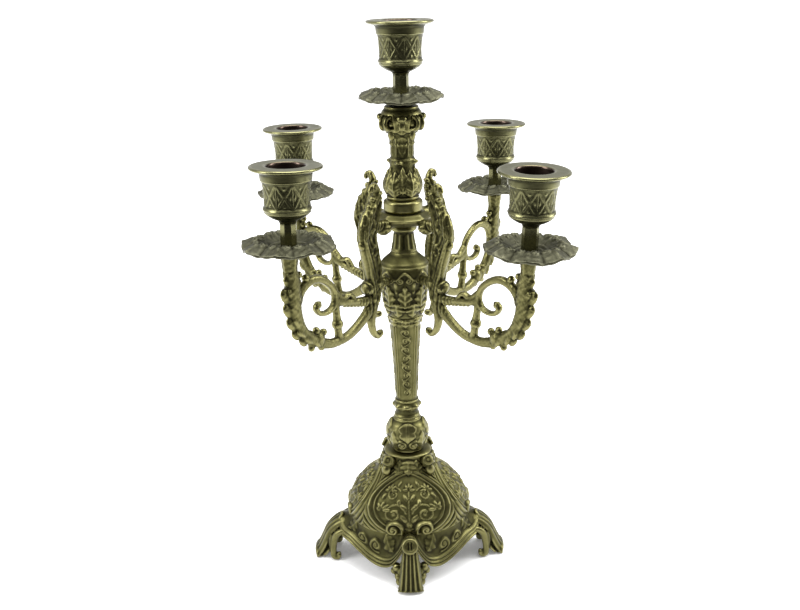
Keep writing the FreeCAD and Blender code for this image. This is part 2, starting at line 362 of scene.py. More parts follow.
def tube(x, y, z):
    """A closed tube from grids of coordinates, with a row for each ring."""
    points = np.stack([x, y, z], -1).reshape(-1, 3)
    return points, outward(points, tube_faces(*x.shape))


def directions(line):
    """The tangent and the normal at each point of a plane line."""
    tangent = np.gradient(line, axis=0)
    tangent /= np.linalg.norm(tangent, axis=1)[:, None]
    return tangent, np.stack([-tangent[:, 1], tangent[:, 0]], 1)


def squared_off(wave, power):
    """A sine or cosine with fuller shoulders."""
    return np.sign(wave) * np.abs(wave) ** power


def blob(centre, radii, tilt=0, rows=9, columns=14):
    """An ellipsoid, turned by tilt about Y."""
    a = np.linspace(0.02, math.pi - 0.02, rows)[:, None]
    b = np.linspace(0, TAU, columns, endpoint=False)[None, :]
    x = radii[0] * np.sin(a) * np.cos(b)
    y = radii[1] * np.sin(a) * np.sin(b)
    z = radii[2] * np.cos(a) + 0 * b
    x, z = rotated(x, z, tilt)
    return tube(x + centre[0], y + centre[1], z + centre[2])


def strand(stations, depth, sides=14, per_span=8):
    """A flat scroll bar in the XZ plane. Stations are (x, z, half width), and half depth if it varies."""
    table = np.array([tuple(s) + ((depth,) if len(s) == 3 else ()) for s in stations], float)
    line = smooth_curve(table, per_span)
    tangent, normal = directions(line[:, :2])
    normal = np.vstack([normal[:1], normal, normal[-1:]])
    tips = [line[k, :2] + tangent[k] * way * line[k, 2] * 0.9 for k, way in ((0, -1), (-1, 1))]
    centre = np.vstack([tips[0], line[:, :2], tips[1]])
    across, deep = (np.hstack([v[0] * 0.25, v, v[-1] * 0.25]) for v in (line[:, 2], line[:, 3]))
    a = np.linspace(0, TAU, sides, endpoint=False)[None, :]
    width = squared_off(np.cos(a), 0.8) * across[:, None]
    x = centre[:, :1] + normal[:, :1] * width
    z = centre[:, 1:] + normal[:, 1:] * width
    return tube(x, squared_off(np.sin(a), 0.8) * deep[:, None] + 0 * x, z)


def turned_about_z(part, degrees):
    points, faces = part
    c, s = math.cos(math.radians(degrees)), math.sin(math.radians(degrees))
    return points @ np.array([[c, s, 0], [-s, c, 0], [0, 0, 1]]), faces


def moved_across(part, y):
    points, faces = part
    return points + np.array([0, y, 0]), faces


# ---- materials ----

def settings(node, **inputs):
    """Sets a node's input sockets; a space in a socket's name is written as an underscore."""
    for name, value in inputs.items():
        node.inputs[name.replace("_", " ")].default_value = value
    return node


def wire(links, *rows):
    """Links nodes; each row is a node, its output, another node and its input."""
    for source, output, target, socket in rows:
        links.new(source.outputs[output], target.inputs[socket])


def new_material(name):
    material = bpy.data.materials.new(name)
    material.use_nodes = True
    tree = material.node_tree
    return material, tree.nodes, tree.links, tree.nodes["Principled BSDF"]


def brass(name, bright, middle, dark, roughness, grain=0.25):
    """Aged brass: polished ridges, brown-green recesses, a mottled patina and fine casting grain. The
    stored number it reads also carries painted shade on some parts and painted light on the cup stems.
    """
    material, nodes, links, shader = new_material(name)
    settings(shader, Metallic=1)
    wear_and_painted_light = nodes.new("ShaderNodeAttribute")
    wear_and_painted_light.attribute_name = "wear_and_painted_light"
    place = nodes.new("ShaderNodeTexCoord")
    mottle = settings(nodes.new("ShaderNodeTexNoise"), Scale=95, Detail=6, Roughness=0.62)
    shift = nodes.new("ShaderNodeMath")
    shift.operation = "MULTIPLY_ADD"
    spread = 0.42
    shift.inputs[1].default_value = spread
    shift.inputs[2].default_value = -spread / 2
    level = nodes.new("ShaderNodeMath")
    level.operation = "ADD"
    ramp = nodes.new("ShaderNodeValToRGB")
    stops = ramp.color_ramp.elements
    stops[0].position, stops[0].color = 0.22, (*dark, 1)
    stops[1].position, stops[1].color = 0.78, (*bright, 1)
    stops.new(0.46).color = (*middle, 1)
    soot = nodes.new("ShaderNodeAttribute")
    soot.attribute_name = "soot"
    stain = nodes.new("ShaderNodeMix")
    stain.data_type = "RGBA"
    settings(stain, B=(0.080, 0.058, 0.046, 1))
    rough = settings(nodes.new("ShaderNodeMapRange"), From_Min=0.2, From_Max=0.85,
                     To_Min=roughness + 0.28, To_Max=roughness)
    fine = settings(nodes.new("ShaderNodeTexNoise"), Scale=900, Detail=4)
    bump = settings(nodes.new("ShaderNodeBump"), Strength=grain, Distance=0.0004)
    wire(
        links,
        (place, "Object", mottle, "Vector"), (mottle, "Fac", shift, 0),
        (wear_and_painted_light, "Fac", level, 0), (shift, 0, level, 1), (level, 0, ramp, "Fac"),
        (soot, "Fac", stain, "Factor"), (ramp, "Color", stain, "A"),
        (stain, "Result", shader, "Base Color"),
        (level, 0, rough, "Value"), (rough, "Result", shader, "Roughness"),
        (place, "Object", fine, "Vector"), (fine, "Fac", bump, "Height"),
        (bump, "Normal", shader, "Normal"),
    )
    return material


cast_brass = brass("cast_brass", (0.180, 0.168, 0.069), (0.076, 0.072, 0.026), (0.029, 0.027, 0.012),
                   roughness=0.30)
cup_brass = brass("cup_brass", (0.190, 0.184, 0.090), (0.102, 0.100, 0.048), (0.038, 0.037, 0.018),
                  roughness=0.22, grain=0.12)
pan_brass = brass("pan_brass", (0.108, 0.106, 0.068), (0.076, 0.075, 0.048), (0.044, 0.043, 0.027),
                  roughness=0.42)


def steel():
    """Plain steel, slightly browned, for the hidden fasteners."""
    material, nodes, links, shader = new_material("steel")
    settings(shader, Metallic=1, Roughness=0.4)
    tarnish = settings(nodes.new("ShaderNodeTexNoise"), Scale=220)
    ramp = nodes.new("ShaderNodeValToRGB")
    stops = ramp.color_ramp.elements
    stops[0].color, stops[1].color = (0.16, 0.13, 0.09, 1), (0.46, 0.44, 0.40, 1)
    wire(links, (tarnish, "Fac", ramp, "Fac"), (ramp, "Color", shader, "Base Color"))
    return material


plain_steel = steel()


def dress(piece, body, material, slot, *nodes):
    """Gives a piece its finish and its body, and hides the CAD nodes that it stands for."""
    piece.data.materials.clear()
    piece.data.materials.append(material)
    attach(piece, body)
    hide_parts(*nodes)


def cast_piece(name, mesh, node, place=None):
    """A casting of the column, in place of a CAD node."""
    dress(make_object(name, mesh, place), "column", cast_brass, "cast_brass", node)


# ---- candle cup and drip pan, on their own axis with the seat at height 0 ----

cup_low, cup_high = node_range("candle_cup_centre")
hub_height = 3.3
seat = cup_low - hub_height
rim = cup_high - seat
stud_hole = 2.56


def cup_relief(theta, height, radius, along):
    """Crossed straps with small drops between them, in a band round the body."""
    cells = 9
    low, high = 28.8, 42.6
    band = step(height, low - 0.3, low + 0.5) * step(high + 0.4 - height, 0, 0.8)
    band = band * step(radius, 12.2, 12.8)
    width = TAU / cells * radius
    u = np.mod(theta / TAU * cells, 1)
    v = (height - low) / (high - low)
    slant = 0.7
    cross = np.minimum(np.abs(u - v), np.abs(u - 1 + v)) * width * slant
    border = np.minimum(u, 1 - u) * width
    strap = np.maximum(ridge(cross, 0.56), 0.8 * ridge(border, 0.36))
    groove = 0.55 * ridge(cross, 0.16)
    drop_side = ridge(border - 1.3, 0.5) * ridge((v - 0.5) * 14, 1.6)
    drop_end = ridge((v - 0.14) * 14, 0.8) + ridge((v - 0.86) * 14, 0.8)
    drop_end = ridge((u - 0.5) * width, 0.8) * drop_end
    pattern = np.maximum(strap - groove, 0.8 * np.maximum(drop_side, drop_end))
    rings = 0.35 * (ridge(height - 44, 0.4) + ridge(height - 27.4, 0.5) + ridge(height - 25.6, 0.35))
    outside = step(radius, 12, 12.6)
    eighth = math.pi / 8
    facets = radius * (math.cos(eighth) / np.cos(np.mod(theta, 2 * eighth) - eighth) - 1)
    stem = step(radius, 4.7, 5) * step(5.9 - radius, 0, 0.5) * step(20.0 - height, 0, 1)
    return 0.42 * band * (pattern - 0.35) + outside * rings * (height < 46) + stem * facets


cup_outline = [
    (0.01, 14), (stud_hole, 14), (stud_hole, hub_height), (4.6, hub_height), (5, 4.2), (5, 19),
    (5.6, 20.6), (9.6, 22.4), (12.4, 24.2), (13.7, 26.4), (13.9, 28), (13.2, 29.4), (13, 34),
    (13.5, 40), (14.2, 43.2), (14.9, 44.6), (15.2, 47.8), (16.2, 49), (19.8, 49.8), (21, 50.4),
    (21.2, 51.1), (20.8, 51.7), (20, rim), (12.2, rim), (11.3, 51.7), (11, 50.8), (11, 32), (0.01, 32),
]
cup_mesh = lathe("candle_cup", cup_outline, cup_relief, 330, 300, soften=0.28)
add_wear(cup_mesh, reach=1.2, depth=0.25)
cup_points = coordinates(cup_mesh)
from_axis = np.hypot(cup_points[:, 0], cup_points[:, 1])
in_socket = step(11.9 - from_axis, 0, 0.6) * step(cup_points[:, 2], 31, 31.6)
# The stem is made brighter: painted light on a stem that stands in shade under the cup.
painted_light_on_stem = step(7.0 - from_axis, 0, 1) * step(21.0 - cup_points[:, 2], 0, 1)
polish_and_painted_light(cup_mesh, 1 + 0.6 * painted_light_on_stem)
store(cup_mesh, "soot", in_socket)


def drip_pan_mesh(seed):
    """A shallow leafy dish: eight ruffled leaves with ribs, and a hub that sits on its seat."""
    draw = np.random.default_rng(seed)
    lobes, rows, columns = 8, 80, 340
    hub_radius = 7.0
    theta = np.linspace(0, TAU, columns, endpoint=False)[None, :]
    lean = draw.uniform(-1, 1, lobes)
    cell = theta / TAU * lobes
    index = np.floor(cell).astype(int) % lobes
    across = cell - np.floor(cell) - 0.5
    uneven = lean[index] * np.cos(math.pi * across) ** 2
    edge = 25.8 + 1.7 * np.cos(math.pi * across) ** 0.8
    edge = edge + 0.22 * np.cos(TAU * 3 * across) + 0.6 * uneven
    rho = np.linspace(0, 1, rows)[:, None]
    reach = stud_hole + (edge - stud_hole) * rho
    share = np.clip((reach - hub_radius) / (edge - hub_radius), 0, 1)
    bowl = 3.0 + 6.4 * step(share, -0.1, 0.60) - 3.0 * step(share, 0.55, 1.05)
    ruffle = share ** 1.6 * (0.7 * np.cos(TAU * across) + 0.9 * uneven + 0.5 * np.sin(2 * theta + seed))
    curl = share ** 8 * (0.2 * np.cos(TAU * 3 * across + 1) - 0.5)
    rib = 0.42 * ridge(across * reach, 0.6) * step(share, 0.02, 0.2)
    veins = 0.14 * np.cos(TAU * (3.0 * share + 1.3 * np.abs(across))) * step(share, 0.08, 0.3)
    valley = -0.3 * ridge((0.5 - np.abs(across)) * reach, 0.8) * step(share, 0.05, 0.4)
    scrolls = 0.9 * spiral(np.abs(across) * 20.0 - 5.2, reach - 17.5, (0, 0), 3.4, 1.5, width=0.7)
    dapple = 0.30 * stipple(reach * np.cos(theta), reach * np.sin(theta), 5.3) * step(share, 0.1, 0.4)
    collar = 0.8 * ridge(reach - 7.6, 0.8) + 0.5 * ridge(reach - 10.2, 0.6)
    top = bowl + ruffle + curl + rib + veins * (1 - 0.7 * share)
    top = top + valley + dapple + collar + scrolls * (reach > 12)
    under = np.maximum(bowl + ruffle + curl - 1.6 + 0.6 * rib, 0.3)
    under = 0.3 + (under - 0.3) * step(reach, hub_radius, 10)
    under = np.minimum(under, top - 1.1)
    loop_reach = np.vstack([reach, reach[::-1]])
    loop_height = np.vstack([top, under[::-1]])
    points = np.stack([loop_reach * np.cos(theta), loop_reach * np.sin(theta), loop_height], -1)
    points = points.reshape(-1, 3)
    faces = outward(points, grid_faces(rows * 2, columns, close_rows=True))
    mesh = make_mesh("drip_pan", points, faces)
    set_points(mesh, relaxed(mesh, 3))
    add_wear(mesh, reach=1.6, depth=0.55)
    return mesh


# ---- column parts ----

bore = 3.1


def column_part(node, outline, relief, rows, columns, soften=0.5, plan=None, painted_shade_scale=1):
    """A part of the column, bored for the tie rod; heights are from the part's own bottom. Its last
    argument, below 1, darkens the whole part: painted shade.
    """
    low, high = node_range(node)
    shape = [(bore, 0)] + outline + [(bore, high - low)]

    def placed(theta, height, radius, along):
        return relief(theta, height, radius, along) * step(radius, bore + 0.5, bore + 2.5)

    mesh = lathe(node, shape, placed, rows, columns, soften, closed=True, plan=plan)
    set_points(mesh, coordinates(mesh) + np.array([0, 0, low]))
    add_wear(mesh, depth=0.35)
    polish_and_painted_light(mesh, painted_shade_scale)
    cast_piece(node + "_piece", mesh, node)


def plain(theta, height, radius, along):
    """No relief."""
    return 0 * theta + 0 * height


def baluster_relief(theta, height, radius, along):
    """Capital with leaves, fluted neck, leafy bulb."""
    top = around(theta, 8, radius, TAU / 16)
    capital = leaf(top, height - 44, 12, 4.4, 2)
    capital = np.maximum(capital, 0.7 * leaf(around(theta, 8, radius), height - 42.5, 10, 3.4, 2))
    flutes = 0.45 * np.cos(theta * 12) * step(height, 27, 30) * step(42.0 - height, 0, 2)
    beads = 0.45 * ridge(height - 26.2, 0.6)
    beads = beads + 0.4 * ridge(height - 36, 0.7) * (1 + np.cos(theta * 20)) / 2
    six, between = around(theta, 6, radius), around(theta, 6, radius, TAU / 12)
    bulb = 1.2 * leaf(six, height - 2.5, 18, 4.6, 4)
    bulb = np.maximum(bulb, leaf(between, height - 5, 18, 3.6, 4))
    curl = 0.9 * spiral(np.abs(between) - 2.6, height - 6.5, (0, 0), 2.4, 1.4)
    foot = 0.4 * ridge(height - 1.6, 0.5)
    ears = 2.6 * ridge(height - 24.4, 1.3) * np.cos(theta * 2 + 0.6) ** 8
    fronds = 0.45 * leaf(around(theta, 4, radius), 41.5 - height, 14, 3.6, 3) * step(height, 27, 30)
    return capital + np.maximum(flutes, fronds) + beads + np.maximum(bulb, curl) + foot + ears


column_part("upper_baluster", [
    (10.2, 0), (10.6, 1.2), (9.6, 2.6), (10.6, 4.4), (11.6, 7), (11.9, 9.6), (11, 13),
    (9.2, 17), (8.2, 20.5), (8.2, 24), (7.6, 26.5), (7.2, 30), (7.1, 34),
    (7.7, 38), (8.9, 42), (10.6, 45.5), (12, 49), (13.2, 52.4), (13.2, 55), (12.2, 56.8),
    (11, 58), (11, 59.7),
], baluster_relief, 300, 300)


def capital_volutes():
    """Four scrolls at the corners of the capital, with a curled leaf between each pair."""
    low = node_range("upper_baluster")[0]
    eye = low + 50.0
    parts = []
    for quarter in range(4):
        corner = [blob((12, 0, eye), (4.8, 3, 5.4)), blob((9, 0, low + 43.4), (2.4, 2.4, 5))]
        for side in (-1, 1):
            corner.append(ring((12.8, side * 3, eye), 4, 1.25, (0.25, side, 0)))
            corner.append(blob((12.8, side * 3.4, eye), (2, 1.4, 2)))
        parts += [turned_about_z(part, 45 + 90 * quarter) for part in corner]
        leaf_curl = [blob((13.6, 0, low + 53), (2.2, 3.4, 2.2)),
                     blob((12.4, 0, low + 49), (2, 2.4, 4))]
        parts += [turned_about_z(part, 90 * quarter) for part in leaf_curl]
    mesh = remeshed("capital", parts, 0.45, smoothing=2)
    add_wear(mesh, reach=1.4, depth=0.4)
    cast_piece("capital_volutes_piece", mesh, "upper_baluster")


capital_volutes()
column_part("collar_disc", [
    (10.4, 0), (11.8, 0.3), (12.8, 1.6), (12.9, 6.8), (12.2, 8), (10.6, 8.7),
], plain, 80, 128)

arm_names = ["front_left", "front_right", "back_right", "back_left"]
joints = {joint["name"]: joint for joint in frame["joints"]}


def arm_azimuth(name):
    """Which way an arm points, read from the joint of its cup."""
    x, y, _ = joints["cup_turn_" + name]["pos_m"]
    return math.atan2(y, x)


def plate_plan(theta, height):
    """The clamping plate has a point over each arm."""
    azimuths = [arm_azimuth(name) for name in arm_names]
    away = np.min([np.abs(np.angle(np.exp(1j * (theta - a)))) for a in azimuths], axis=0)
    half_sector, waist = math.pi / 4, 0.72
    return np.maximum(waist, 1 / (np.cos(away) + 0.52 * np.sin(away) / math.sin(half_sector) * waist))


column_part("arm_plate", [
    (13, 0), (16.5, 1), (20.3, 4.2), (20.5, 5.2), (15.5, 7.9), (14.5, 8.1),
], plain, 90, 256, soften=0.3, plan=plate_plan)


def spindle_relief(theta, height, radius, along):
    """Ten shallow flutes."""
    return 0.35 * np.cos(theta * 10) * step(height, 1.5, 3) * step(12.8 - height, 0, 1.2)


# The spindle is darkened to 0.8: painted shade, as it sits under the arm plate.
column_part("spindle", [
    (8.8, 0), (8.1, 2.5), (7.2, 6), (6.4, 12.6), (7.2, 13.6), (8.7, 14.6), (8.8, 16.2),
    (8, 17.6), (8.2, 18.5),
], spindle_relief, 110, 160, painted_shade_scale=0.8)


def urn_relief(theta, height, radius, along):
    """A band of straps and drops under the shoulder, leaves below, and a flared leaf collar."""
    eight = around(theta, 8, radius)
    between = around(theta, 8, radius, TAU / 16)
    leaves = 1.3 * leaf(eight, height - 8.5, 18, 4.4, 4)
    drops = ridge(between, 1.1) * ridge(height - 25.5, 2.6)
    drops = 0.9 * (drops + ridge(between, 0.8) * ridge(height - 20, 1.2))
    swag = 0.9 * ridge(height - 31.0 - 2.4 * np.cos(theta * 8), 0.8)
    scrolls = 0.9 * spiral(np.abs(eight) - 2.9, height - 28.5, (0, 0), 2.3, 1.4, hand=-1)
    band = 0.4 * ridge(height - 36, 0.6)
    flare = 1.5 * leaf(between, 11.5 - height, 11, 5, 3) * step(12.0 - height, 0, 1)
    return np.max([leaves, drops, swag, scrolls, flare], axis=0) + band


# The urn is darkened to 0.8: painted shade, as it sits in shade under the arms.
column_part("urn", [
    (11.2, 0), (11.4, 1.5), (12.2, 4), (13.4, 7), (13.9, 10), (14.1, 14), (14.9, 20),
    (16, 26), (16.7, 31), (16.4, 35), (14.8, 38.4), (12, 41), (9.6, 43), (8.5, 45),
], urn_relief, 260, 300, painted_shade_scale=0.8)


def shaft_relief(theta, height, radius, along):
    """A vine of scrolls and leaves up each panel, between raised borders."""
    panel = np.tan(np.clip(around(theta, 4, 1), -0.78, 0.78)) * radius
    low, high, turns = 17, 69, 4
    run = np.clip((height - low) / (high - low), 0, 1)
    inside = step(height, low, low + 1.5) * step(high - height, 0, 1.5)
    inside = inside * step(0.74 * radius - np.abs(panel), 0, 0.4)
    sway = 0.30 * radius * np.sin(TAU * turns * run)
    vine = ridge(panel - sway, 0.45)
    leaves = 0 * vine
    count = turns * 2
    for index in range(count):
        at = low + (index + 0.5) * (high - low) / count
        side = 1 if index % 2 == 0 else -1
        size = 2.5 - 0.6 * (1 - index / count)
        curl = spiral(panel * side + 0.2, height - at, (0, 0), size, 1.3, width=0.42)
        blade = leaf(panel * side, height - at - 1, 4.4, 1.5, 3, -0.9)
        leaves = np.maximum(leaves, np.maximum(curl, blade))
    border = ridge(np.abs(panel) - 0.83 * radius, 0.55)
    border = border * step(height, 15, 17) * step(71 - height, 0, 2)
    ears = 1.1 * ridge(height - 8.8, 1.5) * (0.5 + 0.5 * np.cos(theta * 8))
    ears = ears + 0.5 * ridge(height - 12.6, 0.5)
    head = 0.8 * leaf(around(theta, 8, radius), 75.0 - height, 6, 3, 2) * (height > 68)
    return 0.5 * inside * np.maximum(vine, leaves) + 0.5 * border + ears + head


column_part("column_shaft", [
    (8.8, 0), (9.2, 1), (8, 3), (7.9, 5), (9, 7), (9.4, 8.8), (8.6, 11),
    (7.5, 13.5), (7.6, 16), (8.4, 38), (10.3, 69), (11, 71), (10.8, 72.5), (11.6, 74),
    (11.6, 76),
], shaft_relief, 380, 256)


def knop_relief(theta, height, radius, along):
    """Heart-shaped leaves over pairs of scrolls."""
    four = around(theta, 4, radius)
    between = around(theta, 4, radius, TAU / 8)
    heart = 1.1 * leaf(four, 23.5 - height, 15, 6.4, 2)
    small = 0.6 * leaf(between, height - 2.5, 17, 4, 3)
    scrolls = 0.9 * spiral(np.abs(four) - 4.4, height - 7.4, (0, 0), 4, 1.7, start=1, width=0.75)
    collar = 0.5 * ridge(height - 24.4, 0.6) + 0.4 * ridge(height - 1.4, 0.5)
    return np.max([heart, small, scrolls], axis=0) + collar


column_part("knop", [
    (10.2, 0), (10.8, 1.5), (11.6, 3.2), (13.2, 6.5), (14.2, 10), (14.4, 14), (13.8, 18),
    (12, 21.5), (9.8, 23.6), (9.2, 24.6), (9, 26),
], knop_relief, 200, 260)


# ---- arms ----

def arm_parts():
    """The pieces of one arm in the XZ plane, upright, before they are melted together."""
    spine = [
        (33.2, 277.8, 1.6, 1.6), (32, 280.4, 1.7, 1.8), (28.8, 281.2, 1.9, 2),
        (26.8, 277, 2.3, 2.4), (27.4, 272, 3.6, 2.8), (30.2, 266.5, 5.2, 3),
        (34.2, 259.5, 7.4, 3.2), (36.4, 251.5, 7.4, 3.2), (35.4, 243, 6.8, 3.2),
        (33, 233, 6.4, 3.2), (31.2, 223, 5.6, 3.4), (30.4, 213, 4.8, 3.4),
        (31.8, 203, 3.8, 3.2), (33.8, 193, 2.8, 2.8), (32, 184.6, 2.2, 2.4),
        (28, 180.6, 1.9, 2.2), (24.6, 182.4, 2.3, 2.5),
    ]
    parts = [
        strand(spine, 3.2, sides=20),
        strand([(36, 252, 3.4), (29, 254.6, 3.6), (23, 255.4, 3.2), (17.4, 254.6, 2.8)], 3.6),
        blob((20.6, 0, 252.4), (5.4, 5, 4.8)),
        blob((28, 0, 218), (4, 4.6, 5)),
        strand([(18.2, 216, 3), (22.5, 216.4, 3.2), (28, 217.4, 4)], 3.2),
        blob((36.6, 0, 216), (4.4, 4.8, 4.8)),
    ]
    face_lines = [
        [(26.6, 276, 1.1), (29.4, 271.6, 1.3), (33.8, 266, 1.5), (38.6, 259, 1.7),
         (41, 251, 1.7), (39.6, 242, 1.5), (36.6, 231, 1.4), (34.6, 219, 1.3),
         (33.4, 207, 1.2)],
        [(25.8, 271, 0.9), (28.2, 264, 1.2), (31.2, 256, 1.3), (31.8, 246, 1.4),
         (29.2, 236, 1.4), (27.6, 226, 1.3), (27.4, 216, 1.2), (29.8, 206, 1.1)],
        [(39, 252, 1.3), (37.6, 258.4, 1.5), (33.6, 259.6, 1.5), (32.4, 255.4, 1.3), (35.4, 253, 1.6)],
        [(36.4, 239.6, 1.2), (33.4, 244, 1.3), (30.6, 240.4, 1.2), (33, 237.4, 1.3)],
    ]
    for side in (-1, 1):
        parts += [moved_across(strand(line, 1.2, sides=8), side * 2.9) for line in face_lines]
        parts.append(blob((20.4, side * 4.2, 252.4), (2.8, 1.7, 2.6)))
    bead = (1.6, 2.2, 1.6)
    parts += [blob((23.6 + 0.12 * (279 - z), 0, z), bead) for z in np.arange(263, 279, 3.2)]
    outer_lobes = [(32, 272.6, 2), (35, 267.8, 2.2), (39, 262.6, 2.3), (41.8, 256.8, 2.2),
                   (42.2, 250.8, 2.2), (42.4, 244.8, 2.6), (39.6, 238.4, 2.1), (37.8, 232, 2),
                   (36.4, 225.4, 1.9)]
    parts += [blob((x - 1, 0, z), (size, 2.6, size * 1.3), tilt=0.5) for x, z, size in outer_lobes]
    branch = [(30.5, 208, 4.2), (37, 200, 3.8), (46.3, 193.4, 3.3), (56.7, 189, 3),
              (68.8, 188.2, 3.1), (76, 189.6, 3.4), (82, 192, 3.8)]
    upright = [(82, 193.2, 4.2, 3.4), (88, 195.6, 3.8, 3.2), (94.6, 200.8, 3.8, 3.2),
               (99.6, 208.2, 4.2, 3.4), (102.6, 217.6, 4.8, 3.8), (103.4, 227.6, 5.2, 4),
               (103.6, 236, 4.6, 4.2), (104.7, 243, 4.3, 4.3)]
    parts += [strand(branch, 2.7), strand(upright, 3, sides=18)]
    leaf_edge = [(91.6, 192.8, 2.5), (98.8, 196.8, 2.8), (104.4, 202.8, 2.9), (107.6, 210.6, 3.1),
                 (109.4, 219.2, 3.4), (110.6, 228.2, 3.5), (108.6, 236.6, 2.8)]
    for x, z, size in leaf_edge:
        grown = size * random.uniform(0.9, 1.15)
        parts.append(blob((x - 2.2, 0, z), (grown, 2.2, grown * 1.6), tilt=0.6))
        for side in (-1, 1):
            lean = random.uniform(0.2, 0.9)
            parts.append(blob((x - 4.6, side * 2.6, z + 0.5), (size * 0.6, 1, size * 1.5), tilt=lean))
    scroll = [(100, 222, 3.2), (97.6, 228, 3.2), (91.4, 232.4, 2.9), (83.6, 233.4, 2.6),
              (75.8, 230, 2.4), (69.4, 223.8, 2.2), (67.6, 216.8, 2.1), (70.2, 211.8, 1.8),
              (76, 209.8, 1.7), (82, 211.2, 1.7), (84.6, 215.2, 1.7), (82, 217, 2.4)]
    post = [(67.4, 215, 2.6), (66.8, 208, 2.1), (66.2, 203, 2.6), (66, 199.6, 3.3),
            (65.6, 196, 2.3), (64.6, 190, 2.9)]
    bar = [(30, 207.6, 3.6), (42, 208.6, 2.8), (52, 210.8, 2.3), (60, 212.6, 2.5), (67, 215, 3.6)]
    sprig = [(50.5, 212, 1.8), (54.5, 216.4, 1.6), (61, 215.4, 1.8), (67, 220, 2.2)]
    parts += [strand(scroll, 2.4), strand(post, 2.5), strand(bar, 2.5), strand(sprig, 2.3)]
    parts += [blob((x, 0, 205.6 + (x - 40) * 0.25), bead) for x in np.arange(40, 62, 3.2)]
    knots = [(66, 199.6, 3.8), (83.6, 194.8, 5.1), (78.8, 198, 2.5), (85, 200.8, 2.4), (90.6, 200, 2.6),
             (89.6, 190.6, 2.3), (81, 188.6, 2.2), (92.4, 236, 2.5), (98, 239.4, 2.2), (84.2, 215.6, 2.1),
             (99, 235, 2.4), (60.4, 188.6, 2.6), (44, 195.4, 2.4)]
    return parts + [blob((x, 0, z), (size, min(size, 3.8), size)) for x, z, size in knots]


arm_reach, arm_seat = 104.7, 253.0


def faceted_stem():
    """The eight-sided seat at the end of the arm, from (radius, height)."""
    outline = [(3.6, 235.5), (4.2, 238), (4.6, 241), (4, 242.4), (4.5, 244), (5.4, 252.2),
               (5.2, arm_seat)]
    radius, height = np.array(outline).T[:, :, None]
    turn = np.linspace(0, TAU, 8, endpoint=False)
    return tube(arm_reach + radius * np.cos(turn), radius * np.sin(turn), height + 0 * turn)


def carve_arm(mesh):
    """Feathers and leaf veins on the faces of the casting, and its slightly uneven skin."""
    points, direction = coordinates(mesh), normals(mesh)
    x, z = points[:, 0], points[:, 2]
    flat = np.abs(direction[:, 1]) ** 1.5
    spine_x = np.interp(z, [180, 193, 213, 233, 251, 266, 280], [30, 33.8, 29.7, 31.4, 34.9, 31, 27])
    off = x - spine_x
    bracket = step(48.5 - x, 0, 1.5) * step(z, 196, 204) * step(x, 21, 23)
    feather = 0.34 * np.cos(TAU * (np.abs(off) / 2.9 - z / 15)) * step(np.abs(off), 0.5, 1.8)
    feather += 0.30 * stipple(x + 0.4 * z, z - 0.3 * x, 6.3)
    outer = step(x, 88, 94) * step(z, 188, 196) * step(242 - z, 0, 3)
    vein = 0.05 * np.cos(TAU * ((z * 0.8 - 0.7 * x) / 4.4)) + 0.2 * stipple(x, z, 5.1)
    skin = 0.14 * stipple(x + 0.6 * points[:, 1], z - 0.4 * points[:, 1], 3.1)
    lift = flat * (bracket * feather + outer * vein) + skin
    return points + direction * lift[:, None]


arm_mesh = remeshed("arm", arm_parts() + [faceted_stem()], 0.5, smoothing=3)
set_points(arm_mesh, carve_arm(arm_mesh))
add_wear(arm_mesh, reach=1.8, depth=0.55)

arm_pivot = Vector((14, 0, 245)) * MM


def arm_placement(name):
    """Where an arm and what is on it stand, read from the joint of its cup."""
    azimuth = arm_azimuth(name)
    out = Vector((math.cos(azimuth), math.sin(azimuth), 0))
    tilt = math.asin(Vector(joints["cup_turn_" + name]["axis"]).dot(out))
    swing = Matrix.Translation(arm_pivot) @ Matrix.Rotation(tilt, 4, "Y") @ Matrix.Translation(-arm_pivot)
    return Matrix.Rotation(azimuth, 4, "Z") @ swing


seat_on_arm = Matrix.Translation(Vector((arm_reach, 0, arm_seat)) * MM)
cup_turn, pan_turn, first_seed = 0.35, 0.9, 20
for number, name in enumerate(["centre"] + arm_names):
    if name == "centre":
        place = Matrix.Translation((0, 0, seat * MM))
    else:
        place = arm_placement(name) @ seat_on_arm
        cast_piece("arm_" + name + "_piece", arm_mesh, "arm_" + name, arm_placement(name))
    turned = place @ Matrix.Rotation(cup_turn * number, 4, "Z")
    cup = make_object("candle_cup_" + name + "_piece", cup_mesh, turned)
    dress(cup, "cup_" + name, cup_brass, "cup_brass", "candle_cup_" + name)
    turned = place @ Matrix.Rotation(pan_turn * number, 4, "Z")
    pan = make_object("drip_pan_" + name + "_piece", drip_pan_mesh(first_seed + number), turned)
    dress(pan, "pan_" + name, pan_brass, "dull_brass", "drip_pan_" + name)


# ---- base ----

depth_ratio = 0.86
base_crown = node_range("base_casting")[1]


def base_plan(theta, height):
    """A rounded square where the body is full, an oval at its crown."""
    power = 2.25
    x, y = np.cos(theta), np.sin(theta) / depth_ratio
    square = (np.abs(x) ** power + np.abs(y) ** power) ** (-1 / power)
    oval = (x ** 2 + y ** 2) ** -0.5
    amount = step(80.0 - height, 0, 20)
    return oval * (1 - amount) + square * amount


